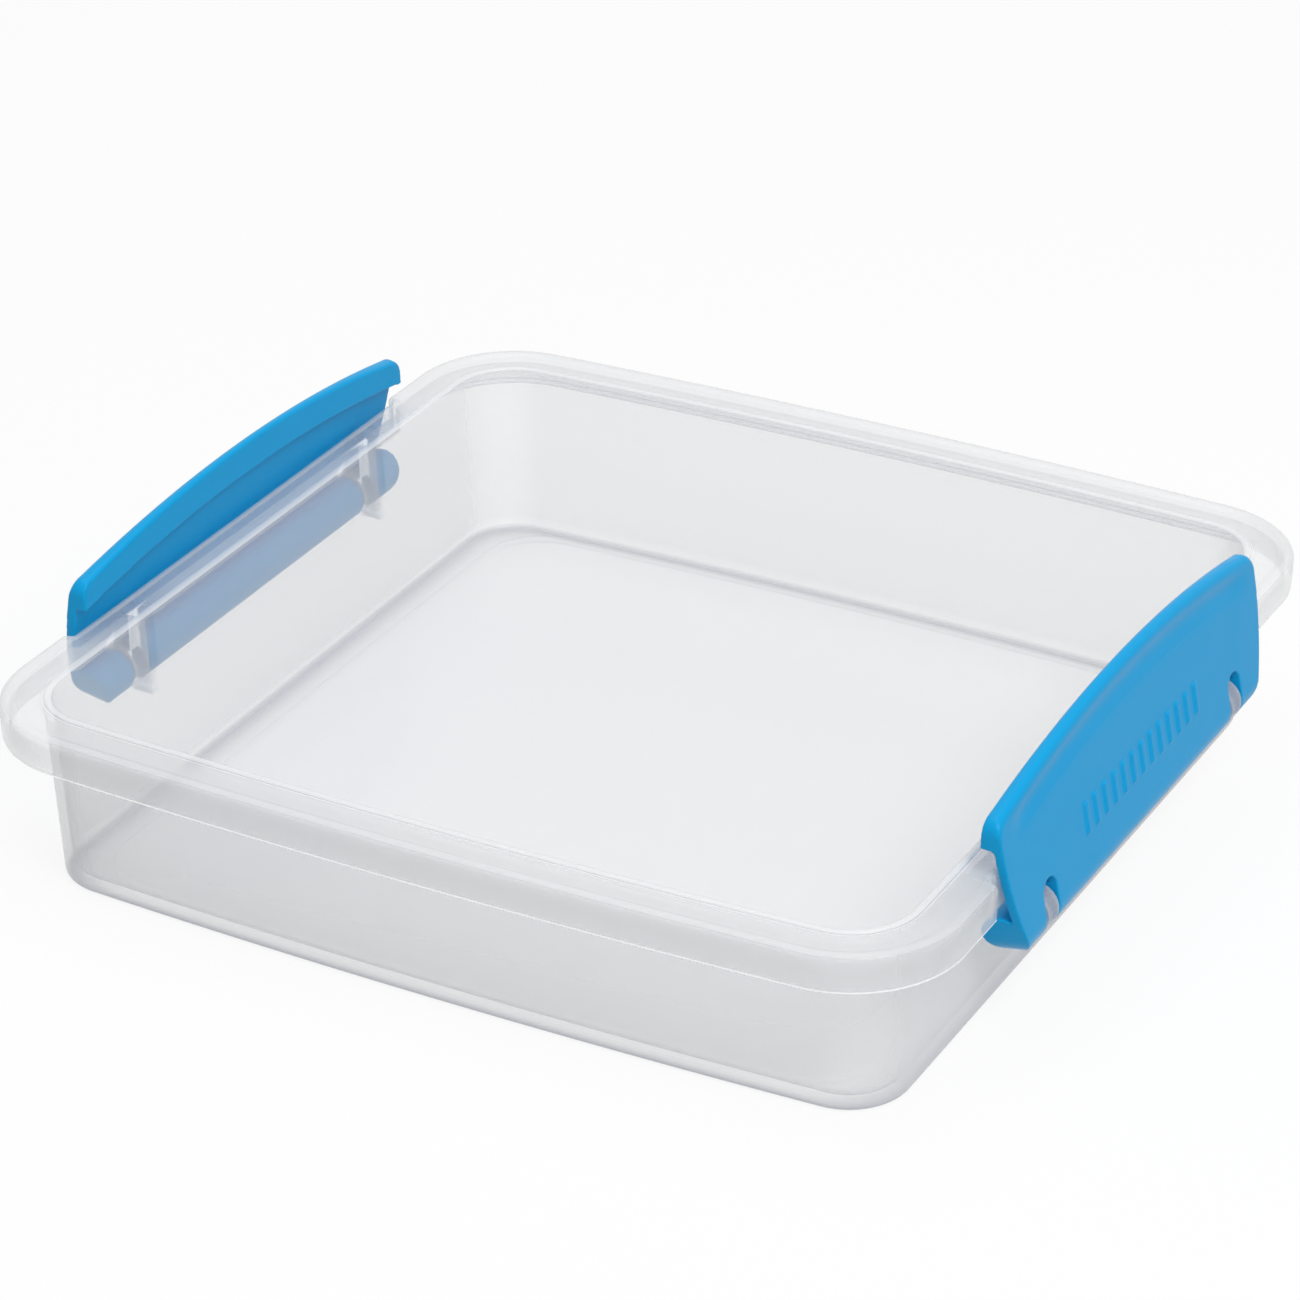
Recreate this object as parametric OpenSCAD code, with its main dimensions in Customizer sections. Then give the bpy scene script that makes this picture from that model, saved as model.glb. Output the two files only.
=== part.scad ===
// Open lunch box: a shallow moulded tray with a turned-down rim, and a snap clip hinged on each end.
// Origin: centre of the base, on the table. +X towards the right clip, +Y towards the back, +Z up.
// The rim's lower outer edge is the line that every offset below is counted from, outwards positive.

/* [Tray in plan] */
// Width of the rim's lower edge, from one clip side to the other
rim_w = 152; // [135:1:200]
// Depth of the rim's lower edge from front to back
rim_d = 149.6; // [135:0.1:200]
// Radius of the rim's corners
corner_r = 17; // [12:0.1:22]

/* [Tray wall and floor] */
// Height of the tray from the table to the top of the rim's outer edge
tray_h = 29.5; // [26:0.1:50]
// Thickness of the walls
wall_t = 1.2; // [0.8:0.1:2]
// Distance from the rim's lower edge in to the wall's outer face, at the top
wall_inset = 6.3; // [5.4:0.1:8]
// How far the wall leans inwards from top to bottom
wall_draft = 1.2; // [0.4:0.1:3]
// Thickness of the floor
floor_t = 1.2; // [0.8:0.1:2]
// Radius where the outside of the wall turns under the base
base_fillet = 1.2; // [0.6:0.1:2]
// Radius where the inside of the wall meets the floor
floor_fillet = 2; // [1:0.1:3]
// Width of the ring that the tray stands on, around its lifted floor panel
foot_w = 5.4; // [4:0.1:9]
// How far the floor panel is lifted off the table
panel_lift = 0.5; // [0.2:0.1:1]

/* [Rim] */
// Height of the turned-down skirt, from its lower edge to the top of the rim
skirt_h = 5.8; // [5:0.1:8]
// Thickness of the skirt and of the flange above it
skirt_t = 1.2; // [0.8:0.1:1.6]
// How far the skirt leans outwards from its lower edge to its top
skirt_flare = 0.15; // [0:0.05:2]
// Radius of the rim's rounded top outer edge
edge_r = 1; // [0.5:0.1:1.4]
// Depth of the flange's flat seat below the top of the rim
seat_drop = 0.5; // [0.2:0.1:1]
// Height of the bead around the mouth, above the flat seat
bead_h = 0.3; // [0.1:0.1:1]
// Width of the bead around the mouth
bead_w = 1.2; // [0.8:0.1:2]
// Distance that the rim steps in behind each clip
recess_in = 1.2; // [0.1:0.1:2.4]
// Free length between the rim's ends and each end of a clip
recess_gap = 0.9; // [0.5:0.1:4]

/* [Clips] */
// Length of a clip along the rim
clip_l = 89.2; // [80:0.1:105]
// Thickness of a clip's plate
clip_t = 1.4; // [1:0.1:2]
// Angle by which the resting clip leans inwards
clip_lean = 10.3; // [4:0.1:14]
// Free distance between the resting clip and the rim's edge
rest_gap = 0.3; // [0.15:0.05:0.6]
// Height from the hinge axis to the middle of a clip's top edge, along the plate
clip_h = 23.6; // [22:0.1:30]
// How much lower a clip's top edge is at its ends than at its middle
crown = 4.5; // [3:0.1:5]
// Radius of a clip's lower corners
clip_corner_r = 5.2; // [3:0.1:9]
// Radius of the long curve of a clip's ends, above the lower corners
clip_end_r = 45; // [32:0.1:60]
// Radius of a clip's upper corners
clip_top_r = 2.4; // [1:0.1:3]
// How far the hook stands inwards of the plate's inner face
hook_reach = 2; // [1.5:0.1:3]
// Free height between the rim's top and the hook's underside, for a lid's edge
hook_gap = 3.7; // [3:0.1:5]
// How much higher the hook's underside lies at the middle of a clip than at its ends
hook_rise = 3.6; // [0.5:0.1:4.2]
// Thickness of the hook along a clip's top edge
hook_top_t = 1.8; // [1.4:0.1:2.6]

/* [Hinges] */
// Distance of the hinge axis below the top of the rim
axis_drop = 11.2; // [10:0.1:13]
// Radius of the rounded barrel along a clip's lower edge
barrel_r = 3.45; // [2.8:0.05:3.6]
// Radius of the hinge pin inside each notch
pin_r = 1.3; // [1:0.05:1.5]
// Radial running clearance between a pin and its lug
pin_gap = 0.06; // [0.03:0.01:0.1]
// Distance between a clip's two lugs, centre to centre
lug_pitch = 65.4; // [50:0.1:68]
// Thickness of a lug along the hinge axis
lug_t = 3.4; // [2.4:0.1:3.8]
// Free distance between a lug and each side of its notch
notch_gap = 0.4; // [0.3:0.1:1]
// Outer radius of a lug around its pin
lug_r = 3.5; // [2.9:0.1:3.8]
// Height of the notch above the hinge axis, along the plate
notch_h = 5; // [4.4:0.1:6]
// Width of the lug's mouth, through which the pin snaps in
mouth_w = 2; // [1.6:0.1:2.4]
// Thickness of the rib that joins a lug to the wall and the flange
rib_t = 2.2; // [1.4:0.1:2.4]
// Distance from the rim's lower edge in to the rib's outer face
rib_inset = 3.1; // [2.6:0.1:4]
// Distance of the rib's lower end below the hinge axis
rib_drop = 3.3; // [2:0.1:6]

/* [Hidden] */
round_fn = 96;
arc_steps = 6;
crown_steps = 24;
arch_steps = 16;
hook_dip = 0.15;
over = 1;
face_low = 0.3;

half_w = rim_w / 2;
half_d = rim_d / 2;
corner_x = half_w - corner_r;
corner_y = half_d - corner_r;

skirt_z = tray_h - skirt_h;
seat_z = tray_h - seat_drop;
axis_z = tray_h - axis_drop;
flange_z = seat_z - skirt_t;
bead_z = seat_z + bead_h;
wall_top = -wall_inset;
wall_foot = wall_top - wall_draft;
bead_out = wall_top + (bead_w - wall_t) / 2;
bead_in = bead_out - bead_w;
floor_join = wall_foot - wall_t - floor_fillet;
panel_edge = wall_foot - base_fillet - foot_w;
ledge_t = 1.5 * panel_lift;

recess_x = half_w - recess_in;
recess_half = clip_l / 2 + recess_gap;
plate_out = barrel_r;
plate_in = barrel_r - clip_t;
lean_s = sin(clip_lean);
lean_c = cos(clip_lean);
rise_to_rim = (tray_h - axis_z - plate_in * lean_s) / lean_c;
axis_x = recess_x + rest_gap - plate_in * lean_c + rise_to_rim * lean_s;
hook_tip = plate_in - hook_reach;
hook_z = (tray_h + hook_gap - axis_z - plate_in * lean_s) / lean_c;
hook_tip_z = hook_z + hook_reach * lean_s / lean_c;
half_clip = clip_l / 2;
crown_r = (half_clip * half_clip + crown * crown) / (2 * crown);
end_blend = clip_end_r - clip_corner_r;
corner_rise = clip_corner_r - barrel_r - face_low;
end_rise = clip_h - crown - clip_top_r;
end_turn = asin((end_rise - corner_rise) / end_blend);
corner_side = half_clip - clip_end_r + end_blend * cos(end_turn);
notch_w = lug_t + 2 * notch_gap;
rib_x = half_w - rib_inset;
rib_root = half_w + wall_top - 0.75 * wall_t;
bore_r = pin_r + pin_gap;

// Points along an arc around c, from angle a0 to angle a1
function arc(c, r, a0, a1, steps = arc_steps) =
    [for (i = [0 : steps]) c + r * [cos(a0 + (a1 - a0) * i / steps), sin(a0 + (a1 - a0) * i / steps)]];

// Closed section of floor edge, wall, bead and rim: x is the offset from the rim's lower edge
function tray_section(step, flare) = concat(
    [[floor_join - over, 0]],
    arc([wall_foot - base_fillet, base_fillet], base_fillet, -90, 0),
    [[wall_top, flange_z], [-step - skirt_t, flange_z], [-step - skirt_t, skirt_z], [-step, skirt_z]],
    arc([flare - step - edge_r, tray_h - edge_r], edge_r, 0, 90),
    [[flare - step - edge_r - seat_drop, tray_h - seat_drop / 2], [flare - step - edge_r - 2 * seat_drop, seat_z]],
    [[bead_out + bead_h / 2, seat_z], [bead_out, bead_z]],
    [[bead_in + bead_h / 2, bead_z], [bead_in, bead_z - bead_h / 2], [wall_top - wall_t, flange_z - skirt_t]],
    arc([floor_join, floor_t + floor_fillet], floor_fillet, 0, -90),
    [[floor_join - over, floor_t]]
);

// Carries a section around one corner
module corner_sweep() {
    translate([corner_x, corner_y, 0])
        rotate_extrude(angle = 90, $fn = round_fn)
            translate([corner_r, 0]) children();
}

// Carries a section along the straight back side
module back_sweep() {
    translate([corner_x, half_d, 0]) rotate([90, 0, -90]) mirror([1, 0, 0]) linear_extrude(2 * corner_x) children();
}

// Carries a section along the straight right side, from y0 to y1
module straight_sweep(y0, y1) {
    translate([half_w, y1, 0]) rotate([90, 0, 0]) linear_extrude(y1 - y0) children();
}

// Plan outline at one offset from the rim's lower edge
module plan(offset) {
    square([2 * (half_w + offset), 2 * corner_y], center = true);
    square([2 * corner_x, 2 * (half_d + offset)], center = true);
    for (mx = [-1, 1], my = [-1, 1])
        translate([mx * corner_x, my * corner_y]) circle(corner_r + offset, $fn = round_fn);
}

// Solid section of the rim's end, which closes the skirt beside a clip
module rim_end() {
    inner_x = half_w - recess_in - skirt_t;
    translate([0, recess_half + skirt_t, 0]) rotate([90, 0, 0]) linear_extrude(skirt_t)
        polygon(concat(
            [[inner_x, flange_z], [inner_x, skirt_z], [half_w, skirt_z]],
            arc([half_w + skirt_flare - edge_r, tray_h - edge_r], edge_r, 0, 90),
            [[half_w - edge_r, seat_z - skirt_t / 2]]
        ));
}

// One hinge lug: a rib on the wall under the flange, hooked out and down around the pin
module lug() {
    difference() {
        union() {
            translate([axis_x, lug_t / 2, axis_z]) rotate([90, 0, 0])
                cylinder(h = lug_t, r = lug_r, $fn = round_fn);
            translate([rib_root, -rib_t / 2, axis_z - rib_drop])
                cube([rib_x - rib_root, rib_t, flange_z - axis_z + rib_drop + skirt_t / 2]);
        }
        translate([axis_x, lug_t, axis_z]) rotate([90, 0, 0]) cylinder(h = 2 * lug_t, r = bore_r, $fn = round_fn);
        translate([axis_x - mouth_w / 2, -lug_t, axis_z - lug_r - over]) cube([mouth_w, 2 * lug_t, lug_r + over]);
    }
}

// Tray: walls and rim carried round the plan, the floor with its lifted panel, and four hinge lugs
module tray() {
    color([0.9, 0.91, 0.92, 0.55]) difference() {
        union() {
            for (mx = [0, 1]) mirror([mx, 0, 0]) {
                for (my = [0, 1]) mirror([0, my, 0]) {
                    corner_sweep() polygon(tray_section(0, skirt_flare));
                    straight_sweep(recess_half, corner_y) polygon(tray_section(0, skirt_flare));
                    rim_end();
                    translate([0, lug_pitch / 2, 0]) lug();
                }
                straight_sweep(-recess_half, recess_half) polygon(tray_section(recess_in, 0));
            }
            for (my = [0, 1]) mirror([0, my, 0]) back_sweep() polygon(tray_section(0, skirt_flare));
            linear_extrude(floor_t) plan(floor_join - over / 2);
            linear_extrude(floor_t + panel_lift) plan(panel_edge - ledge_t);
        }
        translate([0, 0, -over]) linear_extrude(over + panel_lift) plan(panel_edge);
    }
}

// Section of a clip's plate across the rim, with the hinge axis at [0, 0] and the plate upright
module plate_section() {
    polygon([
        [plate_out, 0],
        [plate_out, clip_h + over],
        [plate_in, clip_h + over],
        [plate_in, 0]
    ]);
}

// Section of a clip's hook, reaching into the plate
module hook_section() {
    polygon([
        [plate_out - hook_top_t, clip_h + over],
        [hook_tip, hook_tip_z],
        [plate_in, hook_z],
        [plate_in + clip_t / 2, hook_z],
        [plate_in + clip_t / 2, clip_h + over]
    ]);
}

// Space under the hook, seen from outside: its top rises towards the middle as the crown does
module hook_arch() {
    polygon(concat(
        [[half_clip + 2 * over, clip_h / 2], [half_clip + 2 * over, hook_z - hook_dip]],
        [for (i = [1 : arch_steps - 1])
            let (share = 1 - 2 * i / arch_steps)
            [half_clip * share, hook_z - hook_dip + (hook_rise + hook_dip) * (1 - share * share)]],
        [[-half_clip - 2 * over, hook_z - hook_dip], [-half_clip - 2 * over, clip_h / 2]]
    ));
}

// Hook along a clip's top edge, longer than the clip
module hook() {
    difference() {
        translate([0, half_clip + over, 0]) rotate([90, 0, 0]) linear_extrude(clip_l + 2 * over) hook_section();
        translate([-2 * barrel_r, 0, 0]) rotate([90, 0, 90]) linear_extrude(4 * barrel_r) hook_arch();
    }
}

// Face of a clip seen from outside: crowned top edge, and ends that curve in towards the foot
module clip_face() {
    polygon(concat(
        arc([corner_side, corner_rise], clip_corner_r, -90, -end_turn, arc_steps),
        arc([half_clip - clip_end_r, end_rise], clip_end_r, -end_turn, 0, 2 * arc_steps),
        arc([half_clip - clip_top_r, end_rise], clip_top_r, 0, 90 - asin(half_clip / crown_r)),
        [for (i = [1 : crown_steps - 1])
            let (a = asin((half_clip - clip_top_r) / crown_r) * (1 - 2 * i / crown_steps))
            [crown_r * sin(a), clip_h - crown_r * (1 - cos(a))]],
        arc([clip_top_r - half_clip, end_rise], clip_top_r, 90 + asin(half_clip / crown_r), 180),
        arc([clip_end_r - half_clip, end_rise], clip_end_r, 180, 180 + end_turn, 2 * arc_steps),
        arc([-corner_side, corner_rise], clip_corner_r, 180 + end_turn, 270, arc_steps)
    ));
}

// One clip in its own frame: hinge axis along Y through the origin, plate upright, outside towards +X
module clip() {
    difference() {
        intersection() {
            union() {
                translate([0, half_clip + over, 0]) rotate([90, 0, 0]) linear_extrude(clip_l + 2 * over)
                    plate_section();
                hook();
                translate([0, half_clip + over, 0]) rotate([90, 0, 0])
                    cylinder(h = clip_l + 2 * over, r = barrel_r, $fn = round_fn);
            }
            translate([-2 * barrel_r, 0, 0]) rotate([90, 0, 90]) linear_extrude(4 * barrel_r) clip_face();
        }
        for (my = [-1, 1]) translate([0, my * lug_pitch / 2, 0]) {
            translate([-2 * barrel_r, -notch_w / 2, -2 * barrel_r])
                cube([4 * barrel_r, notch_w, 2 * barrel_r + notch_h - notch_w / 2]);
            translate([-2 * barrel_r, 0, notch_h - notch_w / 2]) rotate([0, 90, 0])
                cylinder(h = 4 * barrel_r, r = notch_w / 2, $fn = round_fn);
        }
    }
    for (my = [-1, 1]) translate([0, my * lug_pitch / 2 + notch_w / 2 + over, 0]) rotate([90, 0, 0])
        cylinder(h = notch_w + 2 * over, r = pin_r, $fn = round_fn);
}

// Places a clip at the right end, leaning inwards over the rim
module placed_clip() {
    translate([axis_x, 0, axis_z]) rotate([0, -clip_lean, 0]) clip();
}

module right_clip() {
    color([0.2, 0.6, 0.85]) placed_clip();
}

module left_clip() {
    color([0.2, 0.6, 0.85]) rotate([0, 0, 180]) placed_clip();
}

tray();
left_clip();
right_clip();
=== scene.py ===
"""Lunch box: a translucent moulded tray with a hinged snap clip on each end."""

import logging
import math
from collections.abc import Iterable, Sequence
from dataclasses import dataclass
from enum import Enum

import bmesh
import bpy
from mathutils import Matrix, Vector


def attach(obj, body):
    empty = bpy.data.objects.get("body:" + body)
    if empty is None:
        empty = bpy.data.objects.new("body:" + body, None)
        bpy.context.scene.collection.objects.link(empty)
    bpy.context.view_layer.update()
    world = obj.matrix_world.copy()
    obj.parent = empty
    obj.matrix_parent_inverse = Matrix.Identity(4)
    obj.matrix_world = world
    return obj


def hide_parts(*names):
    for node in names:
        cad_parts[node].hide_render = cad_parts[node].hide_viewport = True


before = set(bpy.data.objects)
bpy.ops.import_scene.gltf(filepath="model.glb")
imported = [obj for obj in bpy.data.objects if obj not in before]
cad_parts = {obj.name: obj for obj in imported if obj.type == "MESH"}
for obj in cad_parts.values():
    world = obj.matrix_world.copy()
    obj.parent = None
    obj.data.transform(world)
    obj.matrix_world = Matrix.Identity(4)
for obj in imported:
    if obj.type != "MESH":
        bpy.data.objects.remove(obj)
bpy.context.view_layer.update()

LOG = logging.getLogger("lunch_box")
MM = 0.001
WHITE = (1.0, 1.0, 1.0, 1.0)
# Vertex attributes of the tray: how solid its plastic looks, which also sets a painted glow on its edges,
# and how much painted shade of cool grey it takes.
SOLID_AND_GLOW = "solid"
PAINTED_SHADE = "painted_shade"
# Sockets of a colour mix, by number: its names A, B and Result stand for several sockets each.
MIX_A, MIX_B, MIX_OUT = 6, 7, 2

Point = tuple[float, float]


class Side(Enum):
    """The end of the tray that a clip is hinged on, as the sign of its X."""

    LEFT = -1
    RIGHT = 1


class Change(Enum):
    """What a second solid does to a piece, by the Boolean modifier's own names."""

    ADD = "UNION"
    CUT = "DIFFERENCE"
    TRIM = "INTERSECT"


def srgb(code: str) -> tuple[float, float, float, float]:
    """Turns an sRGB hex colour into Blender's linear one.

    Args:
        code: The colour as six hex digits after a hash sign.

    Returns:
        Linear red, green and blue, and an alpha of 1.
    """
    values = [int(code[i : i + 2], 16) / 255 for i in (1, 3, 5)]
    linear = [v / 12.92 if v <= 0.04045 else ((v + 0.055) / 1.055) ** 2.4 for v in values]
    return (linear[0], linear[1], linear[2], 1.0)


def arc(centre: Point, radius: float, start: float, end: float, steps: int = 6) -> list[Point]:
    """Gives points along an arc of some steps between two angles in degrees, both ends included."""
    angles = [math.radians(start + (end - start) * i / steps) for i in range(steps + 1)]
    return [(centre[0] + radius * math.cos(a), centre[1] + radius * math.sin(a)) for a in angles]


def smooth_step(value: float) -> float:
    """Eases 0 to 1, and holds each outside that range."""
    t = min(1.0, max(0.0, value))
    return t * t * (3 - 2 * t)


def add_node(
    tree: bpy.types.NodeTree,
    kind: str,
    settings: dict[str, object] | None = None,
    values: dict[str, object] | None = None,
    links: dict[str, bpy.types.NodeSocket] | None = None,
) -> bpy.types.Node:
    """Adds one node to a tree.

    Args:
        tree: The node tree to add to.
        kind: The node's type name.
        settings: The node's own properties.
        values: Values of its input sockets, by name or number.
        links: Output sockets to join to its inputs, by name or number.

    Returns:
        The new node.
    """
    node = tree.nodes.new(kind)
    for name, value in (settings or {}).items():
        setattr(node, name, value)
    for name, value in (values or {}).items():
        node.inputs[name].default_value = value
    for name, socket in (links or {}).items():
        tree.links.new(socket, node.inputs[name])
    return node


@dataclass(frozen=True)
class MouldedPlastic:
    """Injection-moulded polypropylene, coloured right through, from a satin-polished mould.

    It gives the eye one even colour and a broad soft sheen that wavers a little where the melt flowed.
    """

    name: str
    colour: str
    roughness: float
    specular: float
    # Polypropylene's index of refraction.
    ior: float = 1.49
    # The flow ripple is a few hundredths of a millimetre deep over some millimetres.
    ripple_mm: float = 6.0
    ripple_height_mm: float = 0.02
    ripple_strength: float = 0.5
    # A satin mould's texture is near 0.05 mm, drawn ten times as coarse so that it shows at all.
    grain_mm: float = 0.5
    grain_height_mm: float = 0.02
    grain_strength: float = 0.05
    roughness_spread: float = 0.06

    def principled(self, tree: bpy.types.NodeTree) -> bpy.types.Node:
        """Adds the plastic's shader with its ripple, grain and uneven gloss.

        Args:
            tree: The material's node tree.

        Returns:
            The shader node.
        """
        place = add_node(tree, "ShaderNodeTexCoord").outputs["Object"]
        ripple = add_node(
            tree,
            "ShaderNodeTexNoise",
            values={"Scale": 1 / (self.ripple_mm * MM), "Detail": 2.0, "Roughness": 0.4},
            links={"Vector": place},
        )
        grain = add_node(
            tree,
            "ShaderNodeTexNoise",
            values={"Scale": 1 / (self.grain_mm * MM), "Detail": 2.0, "Roughness": 0.5},
            links={"Vector": place},
        )
        fine = add_node(
            tree,
            "ShaderNodeBump",
            values={"Strength": self.grain_strength, "Distance": self.grain_height_mm * MM},
            links={"Height": grain.outputs["Fac"]},
        )
        broad = add_node(
            tree,
            "ShaderNodeBump",
            values={"Strength": self.ripple_strength, "Distance": self.ripple_height_mm * MM},
            links={"Height": ripple.outputs["Fac"], "Normal": fine.outputs["Normal"]},
        )
        low, high = self.roughness - self.roughness_spread, self.roughness + self.roughness_spread
        rough = add_node(
            tree,
            "ShaderNodeMapRange",
            values={"To Min": low, "To Max": high},
            links={"Value": ripple.outputs["Fac"]},
        )
        return add_node(
            tree,
            "ShaderNodeBsdfPrincipled",
            values={"Base Color": srgb(self.colour), "IOR": self.ior, "Specular IOR Level": self.specular},
            links={"Roughness": rough.outputs["Result"], "Normal": broad.outputs["Normal"]},
        )

    def material(self) -> bpy.types.Material:
        """Builds the material.

        Returns:
            The finished node material.
        """
        made = bpy.data.materials.new(self.name)
        made.use_nodes = True
        tree = made.node_tree
        tree.nodes.clear()
        shader = self.principled(tree)
        add_node(tree, "ShaderNodeOutputMaterial", links={"Surface": shader.outputs["BSDF"]})
        return made


@dataclass(frozen=True)
class MilkyPlastic(MouldedPlastic):
    """Uncoloured polypropylene, moulded thin in a polished mould: a milky veil that things show through.

    A thin wall seen square on is nearly clear. Seen at a slant or edge on, the light passes more plastic, so
    the curved corners turn whiter, and the skirt's edge, the bead and the lugs stand out as pale lines,
    helped by a painted glow. The rounded foot and the hooks are painted a cool grey, as painted shade.
    """

    opacity: float = 0.17
    slant_opacity: float = 0.6
    slant_blend: float = 0.3
    edge_opacity: float = 0.95
    # Painted glow: edges that look solid get a faint white emission. It stands in for light that entered the
    # thin walls and leaves at their edges, so they look a little brighter than the rest.
    painted_edge_glow: float = 0.35
    painted_glow_from: float = 0.6
    # Painted shade: the rounded foot and the hooks are painted a thin cool grey. It stands in for the light
    # they bend away from the eye.
    painted_shade_colour: str = "#8A8FA3"

    def principled(self, tree: bpy.types.NodeTree) -> bpy.types.Node:
        """Adds the shader: more opaque at a slant and where solid, with painted glow and painted shade.

        Args:
            tree: The material's node tree.

        Returns:
            The shader node.
        """
        shader = super().principled(tree)
        slant = add_node(tree, "ShaderNodeLayerWeight", values={"Blend": self.slant_blend})
        veil = add_node(
            tree,
            "ShaderNodeMapRange",
            values={"To Min": self.opacity, "To Max": self.slant_opacity},
            links={"Value": slant.outputs["Facing"]},
        )
        solid_and_glow_mark = add_node(tree, "ShaderNodeAttribute", {"attribute_name": SOLID_AND_GLOW}).outputs["Fac"]
        times = {"operation": "MULTIPLY"}
        solid = add_node(tree, "ShaderNodeMath", times, {1: self.edge_opacity}, {0: solid_and_glow_mark})
        either = {0: veil.outputs["Result"], 1: solid.outputs[0]}
        opaque = add_node(tree, "ShaderNodeMath", {"operation": "MAXIMUM"}, links=either)
        # Painted glow: white emission that rises on the most solid edges.
        glow = add_node(
            tree,
            "ShaderNodeMapRange",
            values={"From Min": self.painted_glow_from, "To Max": self.painted_edge_glow},
            links={"Value": solid_and_glow_mark},
        )
        # Painted shade: the colour turns cool grey where the painted shade attribute is high.
        painted_shade = add_node(tree, "ShaderNodeAttribute", {"attribute_name": PAINTED_SHADE}).outputs["Fac"]
        shade = add_node(
            tree,
            "ShaderNodeMix",
            {"data_type": "RGBA"},
            {MIX_A: srgb(self.colour), MIX_B: srgb(self.painted_shade_colour)},
            {0: painted_shade},
        )
        shader.inputs["Emission Color"].default_value = WHITE
        tree.links.new(opaque.outputs[0], shader.inputs["Alpha"])
        tree.links.new(glow.outputs["Result"], shader.inputs["Emission Strength"])
        tree.links.new(shade.outputs[MIX_OUT], shader.inputs["Base Color"])
        return shader


def mesh_object(name: str, points: Iterable[Vector], faces: Iterable[Sequence[int]]) -> bpy.types.Object:
    """Makes an object of a closed shell, with doubles merged and its faces turned outwards.

    Args:
        name: The piece's name.
        points: Vertices in millimetres.
        faces: Faces as vertex numbers.

    Returns:
        The new object, at the origin, in metres.
    """
    merge = 0.002 * MM
    mesh = bpy.data.meshes.new(name)
    mesh.from_pydata([p * MM for p in points], [], [list(f) for f in faces])
    shell = bmesh.new()
    shell.from_mesh(mesh)
    bmesh.ops.remove_doubles(shell, verts=shell.verts, dist=merge)
    bmesh.ops.dissolve_degenerate(shell, edges=shell.edges, dist=merge)
    bmesh.ops.recalc_face_normals(shell, faces=shell.faces)
    shell.to_mesh(mesh)
    shell.free()
    piece = bpy.data.objects.new(name, mesh)
    bpy.context.scene.collection.objects.link(piece)
    return piece


def apply_modifiers(piece: bpy.types.Object) -> None:
    """Turns a piece and its modifiers into one plain mesh.

    Args:
        piece: The object to finish.
    """
    bpy.context.view_layer.update()
    graph = bpy.context.evaluated_depsgraph_get()
    finished = bpy.data.meshes.new_from_object(piece.evaluated_get(graph))
    piece.modifiers.clear()
    piece.data = finished


def shade_smooth(piece: bpy.types.Object, angle: float = 40.0) -> None:
    """Shades a piece smooth, except across edges that turn by more than an angle in degrees."""
    piece.data.shade_smooth()
    piece.data.set_sharp_from_angle(angle=math.radians(angle))


def ring_faces(rings: int, count: int) -> list[list[int]]:
    """Gives the faces that join closed rings of points, each ring to the next.

    Args:
        rings: Number of rings.
        count: Number of points in a ring.

    Returns:
        The faces as vertex numbers.
    """
    pairs = [(i, (i + 1) % count) for i in range(count)]
    starts = range(0, (rings - 1) * count, count)
    return [[a + i, a + j, a + count + j, a + count + i] for a in starts for i, j in pairs]


def extruded(name: str, outline: Sequence[Point], width: float) -> bpy.types.Object:
    """Extrudes an outline in X and Z to both sides of the middle plane.

    Args:
        name: The piece's name.
        outline: The closed outline, in millimetres.
        width: Width along Y, in millimetres.

    Returns:
        The new object.
    """
    count = len(outline)
    points = [Vector((x, y, z)) for y in (-width / 2, width / 2) for x, z in outline]
    faces = [list(range(count)), [2 * count - 1 - i for i in range(count)]]
    return mesh_object(name, points, faces + ring_faces(2, count))


def combine(piece: bpy.types.Object, other: bpy.types.Object, change: Change) -> None:
    """Adds a second solid to a piece, cuts it out or trims the piece to it, and removes the second solid.

    Args:
        piece: The object that is kept.
        other: The object that it is combined with.
        change: What the second solid does to the piece.
    """
    step = piece.modifiers.new("combine", "BOOLEAN")
    step.operation = change.value
    step.solver = "EXACT"
    step.object = other
    apply_modifiers(piece)
    bpy.data.objects.remove(other)


def gather(piece: bpy.types.Object, others: Iterable[bpy.types.Object]) -> None:
    """Puts the shells of other objects into a piece's mesh, and removes those objects.

    Args:
        piece: The object that takes the shells.
        others: The objects that give them.
    """
    shells = bmesh.new()
    shells.from_mesh(piece.data)
    for other in others:
        shells.from_mesh(other.data)
        bpy.data.objects.remove(other)
    shells.to_mesh(piece.data)
    shells.free()


def mould(piece: bpy.types.Object, grain: float, rounds: int, keep: float) -> None:
    """Melts a piece's overlapping shells into one skin with slightly rounded edges.

    Args:
        piece: The object to melt.
        grain: Fineness of the new skin, in millimetres.
        rounds: Number of times that the skin is relaxed.
        keep: Share of the skin's faces that stays after flat parts are thinned out.
    """
    skin = piece.modifiers.new("skin", "REMESH")
    skin.mode = "VOXEL"
    skin.voxel_size = grain * MM
    skin.use_smooth_shade = True
    relax = piece.modifiers.new("relax", "SMOOTH")
    relax.factor = 0.5
    relax.iterations = rounds
    thin = piece.modifiers.new("thin", "DECIMATE")
    thin.ratio = keep
    apply_modifiers(piece)
    piece.data.shade_smooth()


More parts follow.
